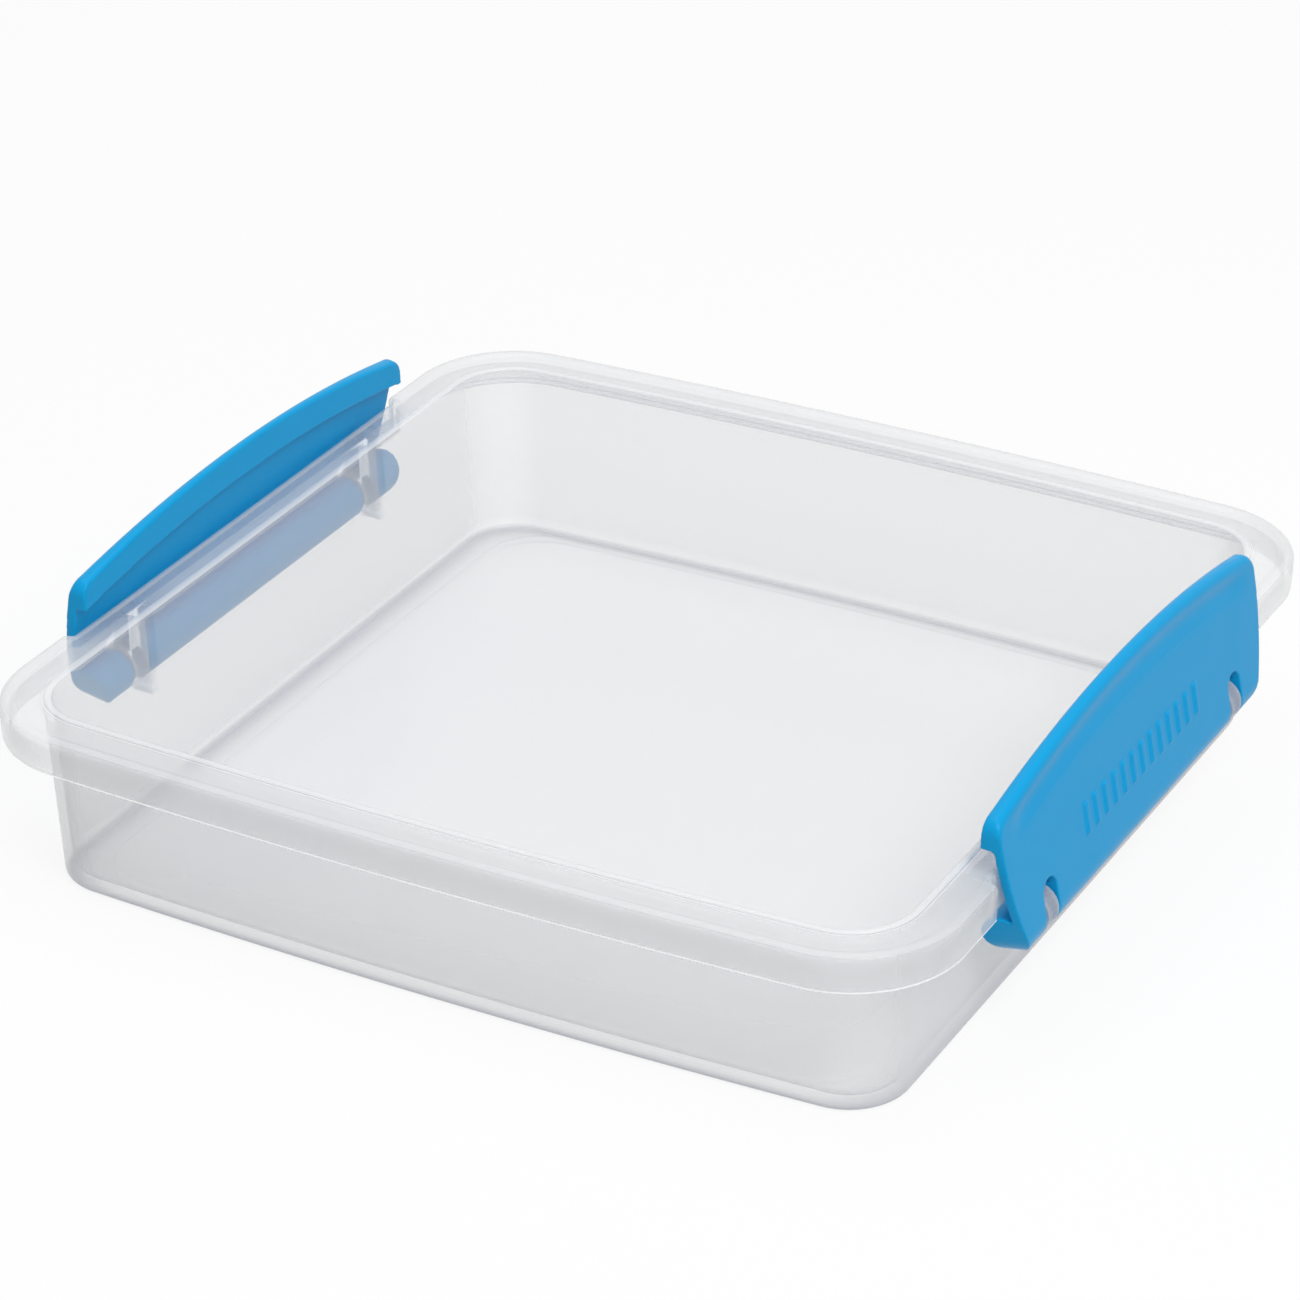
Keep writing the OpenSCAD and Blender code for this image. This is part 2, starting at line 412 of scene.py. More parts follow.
def repeat_tree() -> bpy.types.NodeTree:
    """Builds the node tree that sets a shape out in a row along Y, and in a second row at the other end.

    Returns:
        The geometry node tree, with Pitch, Count, Both Ends and Material as its inputs.
    """
    tree = bpy.data.node_groups.new("repeat_along_side", "GeometryNodeTree")
    names = ("Geometry", "Pitch", "Count", "Both Ends", "Material")
    for name, kind in zip(names, ("Geometry", "Float", "Int", "Bool", "Material")):
        tree.interface.new_socket(name, in_out="INPUT", socket_type=f"NodeSocket{kind}")
    tree.interface.new_socket("Geometry", in_out="OUTPUT", socket_type="NodeSocketGeometry")
    given = add_node(tree, "NodeGroupInput")
    less, times = {"operation": "SUBTRACT"}, {"operation": "MULTIPLY"}
    last = add_node(tree, "ShaderNodeMath", less, {1: 1.0}, {0: given.outputs["Count"]})
    factors = {0: last.outputs[0], 1: given.outputs["Pitch"]}
    reach = add_node(tree, "ShaderNodeMath", times, links=factors)
    back = add_node(tree, "ShaderNodeMath", times, {1: -0.5}, {0: reach.outputs[0]})
    start = add_node(tree, "ShaderNodeCombineXYZ", links={"Y": back.outputs[0]})
    step = add_node(tree, "ShaderNodeCombineXYZ", links={"Y": given.outputs["Pitch"]})
    places = {"Count": given.outputs["Count"], "Start Location": start.outputs[0], "Offset": step.outputs[0]}
    row = add_node(tree, "GeometryNodeMeshLine", links=places)
    placed = add_node(
        tree,
        "GeometryNodeInstanceOnPoints",
        links={"Points": row.outputs["Mesh"], "Instance": given.outputs["Geometry"]},
    )
    real = add_node(tree, "GeometryNodeRealizeInstances", links={"Geometry": placed.outputs["Instances"]})
    turned = add_node(
        tree,
        "GeometryNodeTransform",
        values={"Rotation": (0.0, 0.0, math.pi)},
        links={"Geometry": real.outputs["Geometry"]},
    )
    chosen = add_node(
        tree,
        "GeometryNodeSwitch",
        {"input_type": "GEOMETRY"},
        links={"Switch": given.outputs["Both Ends"], "True": turned.outputs["Geometry"]},
    )
    joined = add_node(tree, "GeometryNodeJoinGeometry")
    tree.links.new(real.outputs["Geometry"], joined.inputs[0])
    tree.links.new(chosen.outputs["Output"], joined.inputs[0])
    whole = add_node(tree, "GeometryNodeRealizeInstances", links={"Geometry": joined.outputs["Geometry"]})
    dressed = add_node(
        tree,
        "GeometryNodeSetMaterial",
        links={"Geometry": whole.outputs["Geometry"], "Material": given.outputs["Material"]},
    )
    add_node(tree, "NodeGroupOutput", links={0: dressed.outputs["Geometry"]})
    return tree


def repeat_along(
    piece: bpy.types.Object,
    pitch: float,
    material: bpy.types.Material,
    count: int = 2,
    both_ends: bool = False,
) -> None:
    """Repeats a piece's own shape along Y, centred on the middle plane.

    Args:
        piece: The object, which becomes all its copies.
        pitch: Distance between two copies, in millimetres.
        material: The copies' material.
        count: Number of copies in the row.
        both_ends: True to add the same row turned half a turn about Z.
    """
    tree = bpy.data.node_groups.get("repeat_along_side") or repeat_tree()
    repeat = piece.modifiers.new("repeat", "NODES")
    repeat.node_group = tree
    given = {"Pitch": pitch * MM, "Count": count, "Both Ends": both_ends, "Material": material}
    for item in tree.interface.items_tree:
        if item.in_out == "INPUT" and item.name in given:
            repeat[item.identifier] = given[item.name]
    apply_modifiers(piece)


@dataclass(frozen=True)
class Outline:
    """Plan of one level of the tray: a rounded rectangle whose front and back bow outwards."""

    half_x: float
    half_y: float
    radius: float
    bow: float

    def grown(self, offset: float) -> "Outline":
        """Gives the outline at an offset, outwards positive."""
        return Outline(self.half_x + offset, self.half_y + offset, self.radius + offset, self.bow)

    def points(self, side: Sequence[float], corner_steps: int, bow_steps: int) -> list[Point]:
        """Walks once round the outline from the middle of the right side.

        Args:
            side: Places along half of a straight side, from 0 at its middle to 1 at its corner.
            corner_steps: Chords in each corner.
            bow_steps: Chords in each half of the front and the back.

        Returns:
            The points, anticlockwise. Outlines walked with the same arguments match point for point.
        """
        cx = self.half_x - self.radius
        cy = self.half_y - self.radius
        bow_radius = (cx * cx + 2 * self.radius * self.bow + self.bow**2) / (2 * self.bow)
        tilt = math.degrees(math.asin(cx / (bow_radius - self.radius)))
        centre_y = self.half_y + self.bow - bow_radius
        quarter = [(self.half_x, place * cy) for place in side]
        quarter += arc((cx, cy), self.radius, 0, 90 - tilt, corner_steps)[1:]
        quarter += arc((0, centre_y), bow_radius, 90 - tilt, 90, bow_steps)[1:]
        mirrored = [(-x, y) for x, y in reversed(quarter[:-1])]
        half = quarter + mirrored
        return half + [(-x, -y) for x, y in half[1:-1]]


@dataclass(frozen=True)
class LevelPoint:
    """One point of the tray's section: offset from the rim's lower edge, height, and offset behind a clip."""

    offset: float
    height: float
    recessed: float


class Look(Enum):
    """Looks of tray places: how solid the plastic looks, which also sets painted glow, and painted shade."""

    EDGE = (1.0, 0.0)
    RIM_STEP = (0.7, 0.0)
    BEAD = (0.66, 0.0)
    RIM = (0.45, 0.0)
    RIB_EDGE = (1.0, 0.1)
    HOOK_EDGE = (0.6, 0.3)
    LUG = (0.45, 0.3)


@dataclass
class Tray:
    """The tray: walls, stepped floor, turned-down rim, bead and four hinge lugs. Sizes in mm."""

    rim: Outline = Outline(76.0, 73.4, 17.0, 1.4)
    panel: Outline = Outline(62.0, 62.6, 9.5, 1.2)
    height: float = 29.5
    wall_t: float = 1.2
    wall_inset: float = 6.3
    wall_draft: float = 1.2
    floor_t: float = 1.2
    base_fillet: float = 1.2
    floor_fillet: float = 2.0
    panel_lift: float = 0.5
    skirt_h: float = 5.8
    skirt_t: float = 1.2
    flare: float = 0.15
    edge_r: float = 1.2
    seat_drop: float = 0.5
    bead_h: float = 0.4
    recess_in: float = 1.2
    recess_half: float = 45.5
    rim_end: float = 0.8
    lug_pitch: float = 65.4
    lug_t: float = 3.4
    lug_r: float = 3.5
    bore_r: float = 1.36
    mouth_w: float = 2.0
    axis: Point = (75.0518, 18.3)
    rib_t: float = 2.2
    rib_inset: float = 3.1
    rib_drop: float = 3.3
    # Roundings of the mould: under the flange outside and inside the skirt, along the skirt's lower edge, and
    # along both sides of the bead.
    joint_r: float = 0.6
    pocket_r: float = 0.5
    hem_in_r: float = 0.3
    hem_out_r: float = 0.35
    bead_out_r: float = 0.35
    bead_in_r: float = 0.45
    bead_toe: tuple[Point, ...] = ((0.5, 0.0), (0.2, 0.06))
    # Width of the slope from the rim's rounded edge down to its seat.
    seat_run: float = 1.6
    panel_soft: float = 0.08
    side_stations: tuple[float, ...] = (0, 12, 24, 34, 42, 44.8)
    corner_stations: tuple[float, ...] = (47.5, 51.5)
    step_parts: int = 8
    corner_steps: int = 20
    bow_steps: int = 14
    lug_grain: float = 0.12
    sharp_angle: float = 50.0
    # How solid the rounded foot looks and how much painted shade it takes, how many fillets high both fade,
    # and how much of them the floor keeps.
    foot_solid: float = 0.6
    foot_rise: float = 1.2
    floor_share: float = 0.3
    # The eye sees through the walls, meets milky white where they turn away, and finds each edge as a line,
    # brightened by a painted glow; the foot and the hooks take a painted shade of cool grey.
    finish: MilkyPlastic = MilkyPlastic(
        "injection_moulded_milky_polypropylene", "#F1F2F4", 0.2, 0.5, grain_strength=0.02
    )

    def side_places(self) -> list[float]:
        """Gives places along half of a side, close together where the rim steps in.

        Returns:
            The places, from 0 at the side's middle to 1 at its corner.
        """
        half = self.rim.half_y - self.rim.radius
        fine = [self.recess_half + self.rim_end * i / self.step_parts for i in range(self.step_parts + 1)]
        return [y / half for y in [*self.side_stations, *fine, *self.corner_stations, half]]

    def section(self) -> list[LevelPoint]:
        """Gives the section from the foot's edge under the base, up outside, over the rim and down inside.

        Returns:
            The section's points. The shares in its loops only spread points along straight runs.
        """
        top = self.height
        skirt_z = top - self.skirt_h
        seat_z = top - self.seat_drop
        under = seat_z - self.skirt_t
        wall_top = -self.wall_inset
        wall_foot = wall_top - self.wall_draft
        back = self.recess_in + self.flare
        points: list[LevelPoint] = []

        def plain(items: Iterable[Point]) -> None:
            """Adds points that run on unchanged behind a clip."""
            points.extend(LevelPoint(u, z, u) for u, z in items)

        def stepped(items: Iterable[Point], shift: float) -> None:
            """Adds points that step in by a shift behind a clip."""
            points.extend(LevelPoint(u, z, u - shift) for u, z in items)

        joint, pocket, hem = self.joint_r, self.pocket_r, self.hem_out_r
        plain(arc((wall_foot - self.base_fillet, self.base_fillet), self.base_fillet, -90, -4, 6))
        wall_low = self.base_fillet + 0.4
        wall_rise = under - joint - wall_low
        plain([(wall_foot + self.wall_draft * f, wall_low + wall_rise * f) for f in (0.02, 0.35, 0.7, 1.0)])
        plain(arc((wall_top + joint, under - joint), joint, 180, 90, 3))
        stepped(arc((-self.skirt_t - pocket, under - pocket), pocket, 90, 0, 3), self.recess_in)
        stepped([(-self.skirt_t, skirt_z + 2)], self.recess_in)
        hem_in = (-self.skirt_t + self.hem_in_r, skirt_z + self.hem_in_r)
        stepped(arc(hem_in, self.hem_in_r, 180, 270, 3), self.recess_in)
        stepped(arc((-hem, skirt_z + hem), hem, 270, 360, 4), self.recess_in)
        rise = self.skirt_h - self.edge_r - hem
        for part in (0.08, 0.25, 0.5, 0.75):
            points.append(LevelPoint(self.flare * part, skirt_z + hem + rise * part, -self.recess_in))
        lip = self.flare - self.edge_r
        stepped(arc((lip, top - self.edge_r), self.edge_r, 0, 90, 7), back)
        for part in (0.25, 0.5, 0.75, 1.0):
            u = lip - self.seat_run * part
            points.append(LevelPoint(u, top - self.seat_drop * smooth_step(part), u - back * (1 - part)))
        bead_in = wall_top - self.wall_t
        bead_z = seat_z + self.bead_h
        plain([(wall_top + u, seat_z + z) for u, z in self.bead_toe])
        plain(arc((wall_top - self.bead_out_r, bead_z - self.bead_out_r), self.bead_out_r, 0, 90, 3))
        plain(arc((bead_in + self.bead_in_r, bead_z - self.bead_in_r), self.bead_in_r, 90, 180, 4))
        foot_in = wall_foot - self.wall_t
        low = self.floor_t + self.floor_fillet
        high = bead_z - 1
        plain([(bead_in + (foot_in - bead_in) * f, high + (low - high) * f) for f in (0.0, 0.3, 0.65)])
        plain(arc((foot_in - self.floor_fillet, low), self.floor_fillet, 0, -90, 8))
        return points

    def shift_side(self, x: float, y: float, level: LevelPoint) -> Point:
        """Moves a point of a level inwards where the rim steps in behind a clip.

        Args:
            x: The point's X on the plain outline.
            y: The point's Y.
            level: The section point that the outline belongs to.

        Returns:
            The point's X and Y on the real outline.
        """
        if abs(abs(x) - self.rim.half_x - level.offset) > 1e-6:
            return (x, y)
        plain = smooth_step((abs(y) - self.recess_half) / self.rim_end)
        moved = (level.recessed - level.offset) * (1 - plain)
        return (x + moved * math.copysign(1.0, x), y)

    def shell(self) -> bpy.types.Object:
        """Builds the tray's one closed shell.

        Returns:
            The shell as an object.
        """
        walk = (self.side_places(), self.corner_steps, self.bow_steps)
        rings: list[list[Vector]] = []

        def panel_ring(grow: float, height: float, share: float = 1.0) -> None:
            """Adds a ring of the floor panel, grown by some millimetres or shrunk to a share."""
            ring = self.panel.grown(grow).points(*walk)
            rings.append([Vector((x * share, y * share, height)) for x, y in ring])

        # The panel starts near the middle as a pinched ring, and close rings round off its step.
        lift, soft, up = self.panel_lift, self.panel_soft, self.floor_t + self.panel_lift
        for share in (0.001, 0.4, 0.8):
            panel_ring(-1.0, lift, share)
        for grow, height in ((-0.3, lift), (0.0, lift - soft), (0.35, soft), (0.6, 0.0)):
            panel_ring(grow, height)
        for level in self.section():
            flat = self.rim.grown(level.offset).points(*walk)
            moved = [self.shift_side(x, y, level) for x, y in flat]
            rings.append([Vector((x, y, level.height)) for x, y in moved])
        for grow, height in ((0.4, self.floor_t), (0.15, self.floor_t + soft), (-0.2, up - soft), (-0.5, up)):
            panel_ring(grow, height)
        for share in (0.8, 0.4, 0.001):
            panel_ring(-1.0, up, share)
        count = len(rings[0])
        points = [p for ring in rings for p in ring]
        faces = [list(range(count))[::-1], *ring_faces(len(rings), count)]
        faces.append([len(points) - count + i for i in range(count)])
        piece = mesh_object("tray_shell", points, faces)
        shade_smooth(piece, self.sharp_angle)
        return piece

    def hook_outline(self) -> list[Point]:
        """Gives the outline of a lug's hook: over the pin, and open below so that it snaps in.

        Returns:
            A closed outline in X and Z.
        """
        mouth = self.mouth_w / 2
        mouth_out = math.degrees(math.acos(mouth / self.lug_r))
        mouth_in = math.degrees(math.acos(mouth / self.bore_r))
        outline = arc((0, 0), self.lug_r, -mouth_out, 180 + mouth_out, 48)
        outline += arc((0, 0), self.bore_r, 180 + mouth_in, -mouth_in, 28)
        return [(self.axis[0] + x, self.axis[1] + z) for x, z in outline]

    def rib_outline(self) -> list[Point]:
        """Gives the outline of a lug's rib, from inside the wall to under the flange.

        Returns:
            A closed outline in X and Z.
        """
        root = self.rim.half_x - self.wall_inset - 0.75 * self.wall_t
        edge = self.rim.half_x - self.rib_inset
        low = self.axis[1] - self.rib_drop
        high = self.height - self.seat_drop - self.skirt_t / 2
        return [(root, low), (edge, low), (edge, high), (root, high)]

    def lugs(self, material: bpy.types.Material) -> bpy.types.Object:
        """Builds the four hinge lugs.

        Args:
            material: The tray's plastic.

        Returns:
            The lugs as one object.
        """
        lug = extruded("lug", self.hook_outline(), self.lug_t)
        rib = extruded("rib", self.rib_outline(), self.rib_t)
        gather(lug, [rib])
        mould(lug, self.lug_grain, rounds=3, keep=0.25)
        lug.name = "tray_lugs"
        repeat_along(lug, self.lug_pitch, material, both_ends=True)
        return lug

    def outwards(self, x: float, y: float) -> float:
        """Tells how far a point lies outwards of the rim's lower edge, seen from above.

        Args:
            x: The point's X, in millimetres.
            y: The point's Y.

        Returns:
            The distance, which is negative inside the rim.
        """
        straight = self.rim.half_x - self.rim.radius
        bow = self.rim.bow * max(0.0, 1 - (x / straight) ** 2)
        past_x = abs(x) - straight
        past_y = abs(y) - self.rim.half_y - bow + self.rim.radius
        return math.hypot(max(past_x, 0), max(past_y, 0)) - self.rim.radius + min(0, max(past_x, past_y))

    def lug_look(self, x: float, z: float, across: float) -> Look:
        """Tells how a lug looks at a point.

        Args:
            x: The point's distance from the middle plane, in millimetres.
            z: The point's height.
            across: The point's distance from the lug's own middle.

        Returns:
            The look.
        """
        near = 0.4
        if abs(x - self.rim.half_x + self.rib_inset) < near and across < self.rib_t / 2 + 0.1:
            return Look.RIB_EDGE
        if abs(z - self.axis[1] + self.rib_drop) < 0.3:
            return Look.RIB_EDGE
        out = math.hypot(x - self.axis[0], z - self.axis[1])
        return Look.HOOK_EDGE if abs(out - self.lug_r) < near and across > self.lug_t / 2 - 0.5 else Look.LUG

    def looks(self, x: float, y: float, z: float) -> tuple[float, float]:
        """Tells how the plastic looks at a point.

        Args:
            x: The point's X, in millimetres.
            y: The point's Y.
            z: The point's height.

        Returns:
            How solid it looks, which above a level also sets a painted glow, and how much painted
            shade it takes. Both are 0 on an upright wall. The small distances below are just wide enough to
            catch the vertices of each edge.
        """
        out = self.outwards(x, y)
        skirt_z = self.height - self.skirt_h
        if out > -0.3 and skirt_z - 0.1 < z < skirt_z + 0.4:
            return Look.EDGE.value
        if z > self.height - self.seat_drop + 0.05:
            return (Look.BEAD if out < -4.5 else Look.RIM).value
        if abs(x) > self.axis[0] - 0.6 and z > skirt_z and abs(abs(y) - self.recess_half) < 0.3:
            return Look.RIM_STEP.value
        across = abs(abs(y) - self.lug_pitch / 2)
        if across < self.lug_t / 2 + 0.1 and abs(x) > self.rim.half_x - self.wall_inset + 0.2:
            return self.lug_look(abs(x), z, across).value
        # Painted shade and extra solidity on the rounded foot, fading upwards and kept only in part on the
        # floor.
        foot = 1 - smooth_step(z / (self.foot_rise * self.base_fillet))
        if out < -self.wall_inset - self.wall_draft - self.base_fillet - 0.6:
            foot *= self.floor_share
        return (self.foot_solid * foot, foot)

    def mark_looks(self, piece: bpy.types.Object) -> None:
        """Stores on each vertex how solid the plastic looks and what painted glow and painted shade it takes.

        Args:
            piece: The whole tray.
        """
        looks = [self.looks(*(v.co / MM)) for v in piece.data.vertices]
        for name, values in zip((SOLID_AND_GLOW, PAINTED_SHADE), zip(*looks)):
            piece.data.attributes.new(name, "FLOAT", "POINT").data.foreach_set("value", values)

    def build(self) -> list[bpy.types.Object]:
        """Builds and dresses the tray.

        Returns:
            Its pieces.
        """
        material = self.finish.material()
        tray = self.shell()
        combine(tray, self.lugs(material), Change.ADD)
        self.mark_looks(tray)
        shade_smooth(tray, self.sharp_angle)
        tray.data.materials.clear()
        tray.data.materials.append(material)
        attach(tray, "tray")
        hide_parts("tray")
        return [tray]


@dataclass
class SnapClip:
    """A snap clip: a plate with a crowned hook along its top and a notched barrel below. Sizes in mm."""

    side: Side
    length: float = 89.2
    plate_t: float = 1.4
    lean: float = 10.3
    height: float = 23.6
    crown: float = 4.5
    corner_r: float = 5.2
    end_r: float = 45.0
    foot_z: float = -3.75
    top_corner_r: float = 2.4
    hook_tip: Point = (0.05, 15.135)
    hook_root_z: float = 14.771
    hook_rise: float = 3.6
    hook_top_t: float = 1.8
    shoulder_r: float = 1.3
    crease_r: float = 0.55
    # Soft edges as steps in X and height: of the hook's inner edge from its tip, and of the hook's root.
    tip_steps: tuple[Point, ...] = ((0.12, 0.5), (0.0, 0.28), (0.2, 0.02))
    root_steps: tuple[Point, ...] = ((-0.25, 0.04), (0.0, -0.25))
    outer_levels: tuple[float, ...] = (3.0, 6.5, 9.5)
    inner_levels: tuple[float, ...] = (10.0, 6.0, 4.0)
    groove_depth: float = 0.35
    # The groove starts to fade at this distance from the clip's end, and is gone after this run.
    groove_fade_at: float = 9.0
    groove_fade_run: float = 6.5
    # The groove's shape: how far below the top edge, and the share of its depth there.
    groove_dips: tuple[Point, ...] = (
        (6.4, 0.0), (5.5, 0.12), (4.6, 0.55), (3.8, 0.92), (3.2, 1.0), (2.6, 0.8), (2.1, 0.4), (1.7, 0.08)
    )
    barrel_r: float = 3.45
    pin_r: float = 1.3
    lug_pitch: float = 65.4
    notch_w: float = 4.2
    notch_h: float = 5.0
    axis: Point = (75.0518, 18.3)
    grip_count: int = 13
    grip_pitch: float = 3.2
    grip_size: tuple[float, float, float] = (0.35, 1.1, 5.4)
    grip_z: float = 7.4
    # Each grip slopes down at both its ends over this length, and sinks this deep into the plate.
    grip_slope: float = 0.5
    grip_root: float = 0.4
    # Sections lie this many degrees apart on a half circle over the clip, so they crowd at its ends.
    station_angle: int = 3
    corner_shares: tuple[float, ...] = (0.1, 0.3, 0.5, 0.75)
    skin_grain: float = 0.2
    # A strong even blue, coloured right through: the eye reads it as solid, against the see-through tray.
    finish: MouldedPlastic = MouldedPlastic("injection_moulded_blue_polypropylene", "#0FA8E6", 0.32, 0.13)

    @property
    def half(self) -> float:
        """Half of the clip's length."""
        return self.length / 2

    def top(self, y: float) -> float:
        """Gives the height of the top edge above the hinge axis.

        Args:
            y: The place along the clip, in millimetres from its middle.

        Returns:
            The height, crowned over the length and rounded off at both ends.
        """
        radius = (self.half**2 + self.crown**2) / (2 * self.crown)
        inner = self.half - self.top_corner_r
        reach = min(abs(y), inner)
        crowned = self.height - radius + math.sqrt(radius**2 - reach**2)
        past = max(0.0, abs(y) - inner)
        return crowned - self.top_corner_r + math.sqrt(max(0.0, self.top_corner_r**2 - past**2))

    @property
    def end_turn(self) -> float:
        """Angle below level, in degrees, where the long curve of an end turns into the lower corner."""
        rise = self.end_centre[1] - self.foot_z - self.corner_r
        return math.degrees(math.asin(rise / (self.end_r - self.corner_r)))

    @property
    def corner_centre(self) -> Point:
        """Centre of a lower corner, in Y and height."""
        reach = (self.end_r - self.corner_r) * math.cos(math.radians(self.end_turn))
        return (self.end_centre[0] + reach, self.foot_z + self.corner_r)

    @property
    def end_centre(self) -> Point:
        """Centre of the long curve of an end, in Y and height."""
        return (self.half - self.end_r, self.height - self.crown - self.top_corner_r)

    def face(self) -> list[Point]:
        """Gives the outline of the clip's face below its top edge, with room above it.

        Returns:
            A closed outline in Y and height.
        """
        above = self.height + 2
        right = arc(self.corner_centre, self.corner_r, -90, -self.end_turn, 14)
        right += arc(self.end_centre, self.end_r, -self.end_turn, 0, 18)[1:]
        right += [(self.half, above)]
        return right + [(-y, z) for y, z in reversed(right)]

    def notch(self) -> list[Point]:
        """Gives the outline of a hinge notch about its own middle.

        Returns:
            A closed outline in Y and height.
        """
        radius = self.notch_w / 2
        low = -2 * self.barrel_r
        return [(-radius, low), (radius, low), *arc((0, self.notch_h - radius), radius, 0, 180, 24)]

    def groove(self, y: float) -> float:
        """Gives the depth of the groove under the top edge, which runs out towards the ends."""
        past = abs(y) - self.half + self.groove_fade_at
        return self.groove_depth * (1 - smooth_step(past / self.groove_fade_run))

    def section(self, top: float, groove: float) -> list[Point]:
        """Gives the whole section of the upright clip.

        Args:
            top: Height of the top edge.
            groove: Depth of the groove under it.

        Returns:
            A closed outline in X and Z with the same number of points for every call.
        """
        out = self.barrel_r
        inner = out - self.plate_t
        end_x, end_z = self.hook_tip
        slope = (out - self.hook_top_t - end_x) / (self.height - end_z)
        lift = self.hook_rise * max(0.0, 1 - (self.height - top) / self.crown)
        tip_x, tip_z, root_z = end_x + slope * lift, end_z + lift, self.hook_root_z + lift
        lip = tip_x + slope * (top - tip_z)
        shoulder = min(self.shoulder_r, (top - tip_z) * 0.5)
        crease = min(self.crease_r, (top - tip_z) * 0.3)
        points = arc((0, 0), out, -90, 0, 12)
        points += [(out, z) for z in self.outer_levels]
        points += [(out - groove * share, top - below) for below, share in self.groove_dips]
        points += arc((out - shoulder, top - shoulder), shoulder, 0, 90, 7)
        points += arc((lip + crease, top - crease), crease, 90, 170, 4)
        points += [(tip_x + x, tip_z + z) for x, z in self.tip_steps]
        points += [(inner + x, root_z + z) for x, z in self.root_steps]
        points += [(inner, z) for z in self.inner_levels]
        root = math.degrees(math.acos(inner / out))
        points += arc((0, 0), out, root, 270, 22)[:-1]
        return points

    def placed(self, x: float, y: float, z: float) -> Vector:
        """Turns a point of the upright clip to its leaning place at its end of the tray.

        Args:
            x: The point's distance outwards from the hinge axis, in millimetres.
            y: The point's place along the clip.
            z: The point's height above the hinge axis.

        Returns:
            The point in the tray's frame, in millimetres.
        """
        a = math.radians(self.lean)
        out = self.axis[0] + x * math.cos(a) - z * math.sin(a)
        up = self.axis[1] + x * math.sin(a) + z * math.cos(a)
        return Vector((self.side.value * out, self.side.value * y, up))

    def across(self, name: str, outline: Sequence[Point]) -> bpy.types.Object:
        """Extrudes an outline in Y and height right through the clip's thickness.

        Args:
            name: The piece's name.
            outline: The closed outline, in millimetres.

        Returns:
            The new object.
        """
        piece = extruded(name, outline, 4 * self.barrel_r)
        piece.data.transform(Matrix.Rotation(math.pi / 2, 4, "Z"))
        return piece

    def body(self, material: bpy.types.Material) -> bpy.types.Object:
        """Builds the clip as one moulding: plate, hook, notched barrel, pins and finger grips.

        Args:
            material: The clip's plastic.

        Returns:
            The clip as an object.
        """
        angles = range(-90, 91, self.station_angle)
        stations = [self.half * math.sin(math.radians(a)) for a in angles]
        corner = [self.half - self.top_corner_r * (1 - share) for share in self.corner_shares]
        stations += [sign * y for sign in (-1, 1) for y in corner]
        sections = [(y, self.section(self.top(y), self.groove(y))) for y in sorted(stations)]
        rings = [[Vector((x, y, z)) for x, z in section] for y, section in sections]
        count = len(rings[0])
        points = [p for ring in rings for p in ring]
        faces = [list(range(count)), [len(points) - 1 - i for i in range(count)]]
        faces += ring_faces(len(rings), count)
        piece = mesh_object(f"{self.side.name.lower()}_clip_body", points, faces)
        combine(piece, self.across("face", self.face()), Change.TRIM)
        notches = self.across("notch", self.notch())
        repeat_along(notches, self.lug_pitch, material)
        combine(piece, notches, Change.CUT)
        gather(piece, [self.pins(material), self.grips(material)])
        mould(piece, self.skin_grain, rounds=3, keep=0.3)
        self.move_into_place(piece)
        return piece

    def pins(self, material: bpy.types.Material) -> bpy.types.Object:
        """Builds the two hinge pins.

        Args:
            material: The clip's plastic.

        Returns:
            The pins as one object.
        """
        outline = arc((0, 0), self.pin_r, 0, 360, 32)[:-1]
        pin = extruded("pins", outline, self.notch_w + 2)
        repeat_along(pin, self.lug_pitch, material)
        return pin

    def grips(self, material: bpy.types.Material) -> bpy.types.Object:
        """Builds the row of low finger grips on the clip's outer face.

        Args:
            material: The clip's plastic.

        Returns:
            The grips as one object.
        """
        proud, wide, tall = self.grip_size
        low = self.grip_z - tall / 2
        root = self.barrel_r - self.grip_root
        face = self.barrel_r + proud
        outline = [(root, low), (face, low + self.grip_slope), (face, low + tall - self.grip_slope)]
        outline += [(root, low + tall)]
        grip = extruded("grips", outline, wide)
        repeat_along(grip, self.grip_pitch, material, self.grip_count)
        return grip

    def move_into_place(self, piece: bpy.types.Object) -> None:
        """Moves a mesh made on the upright clip to the leaning clip's place.

        Args:
            piece: The object whose mesh moves.
        """
        for vertex in piece.data.vertices:
            x, y, z = vertex.co / MM
            vertex.co = self.placed(x, y, z) * MM
        shell = bmesh.new()
        shell.from_mesh(piece.data)
        bmesh.ops.recalc_face_normals(shell, faces=shell.faces)
        shell.to_mesh(piece.data)
        shell.free()

    def build(self, material: bpy.types.Material) -> list[bpy.types.Object]:
        """Builds and dresses the clip.

        Args:
            material: The blue plastic, shared by both clips.

        Returns:
            Its pieces.
        """
        node = f"{self.side.name.lower()}_clip"
        piece = self.body(material)
        piece.data.materials.clear()
        piece.data.materials.append(material)
        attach(piece, node)
        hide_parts(node)
        return [piece]


@dataclass(frozen=True)
class Softbox:
    """A square soft lamp that faces the object: its place and width in metres, and its power in watts."""

    name: str
    place: tuple[float, float, float]
    size: float
    power: float

    def hang(self) -> None:
        """Adds the lamp to the scene."""
        data = bpy.data.lights.new(self.name, "AREA")
        data.shape = "SQUARE"
        data.size = self.size
        data.energy = self.power
        lamp = bpy.data.objects.new(self.name, data)
        lamp.location = self.place
        lamp.rotation_mode = "QUATERNION"
        lamp.rotation_quaternion = (-Vector(self.place)).to_track_quat("-Z", "Y")
        bpy.context.scene.collection.objects.link(lamp)


